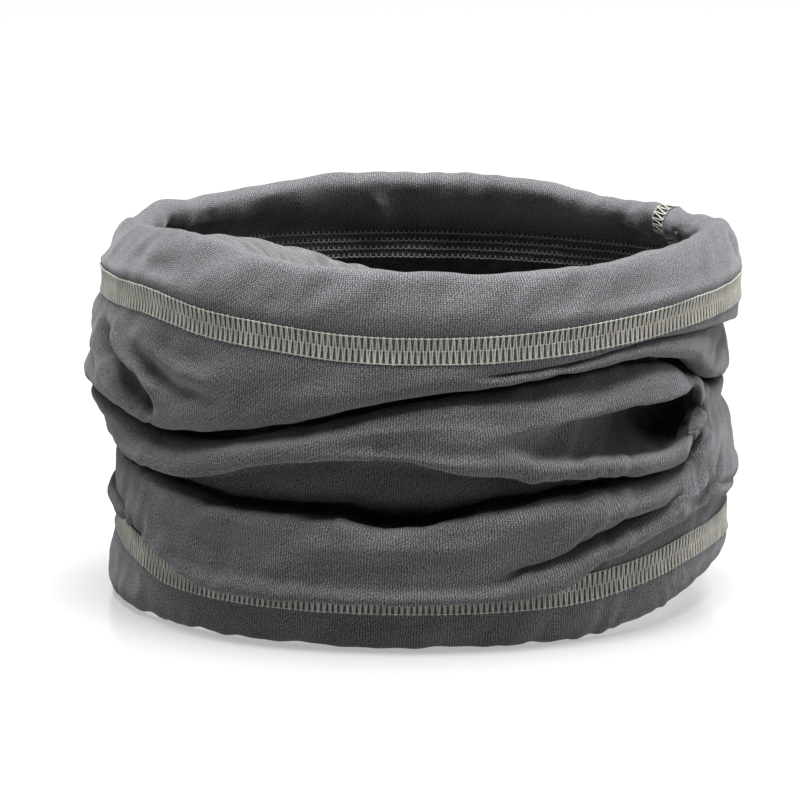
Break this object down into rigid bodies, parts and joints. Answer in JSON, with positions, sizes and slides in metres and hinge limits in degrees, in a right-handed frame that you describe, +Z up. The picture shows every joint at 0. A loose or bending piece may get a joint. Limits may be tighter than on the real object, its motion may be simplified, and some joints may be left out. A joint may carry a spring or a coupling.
{
  "type": "neck gaiter",
  "caption": "Tubular knitted neck gaiter with a brushed inside, standing scrunched in soft folds, with a coverstitched double hem at each end and a flat back seam.",
  "frame": {"origin": "centre of the bounding box in plan, at the height of the surface it stands on", "axes": "+Z up along the tube's axis; the front of the folds faces -Y; the hollow in the front folds is on the +X side"},
  "size_m": [0.1644, 0.1618, 0.094],
  "materials": {
    "knit": "dark grey fine jersey outside, brushed fleece inside",
    "thread": "light beige-grey textured polyester sewing thread"
  },
  "bodies": {
    "lower": {"bottom_hem": "knit", "gathered_wall": "knit", "bottom_needle_upper": "thread", "bottom_needle_middle": "thread", "bottom_needle_lower": "thread", "bottom_cover_thread": "thread", "bottom_looper_thread": "thread", "seam_needle_left": "thread", "seam_needle_right": "thread", "seam_cover_thread": "thread", "seam_looper_thread": "thread"},
    "upper": {"top_hem": "knit", "top_needle_upper": "thread", "top_needle_middle": "thread", "top_needle_lower": "thread", "top_cover_thread": "thread", "top_looper_thread": "thread"}
  },
  "joints": [
    {"name": "pull_out", "type": "slide", "parent": "lower", "child": "upper", "axis": [0, 0, 1], "range_m": [0, 0.06], "deforming": ["gathered_wall", "seam_needle_left", "seam_needle_right", "seam_cover_thread", "seam_looper_thread"]}
  ]
}
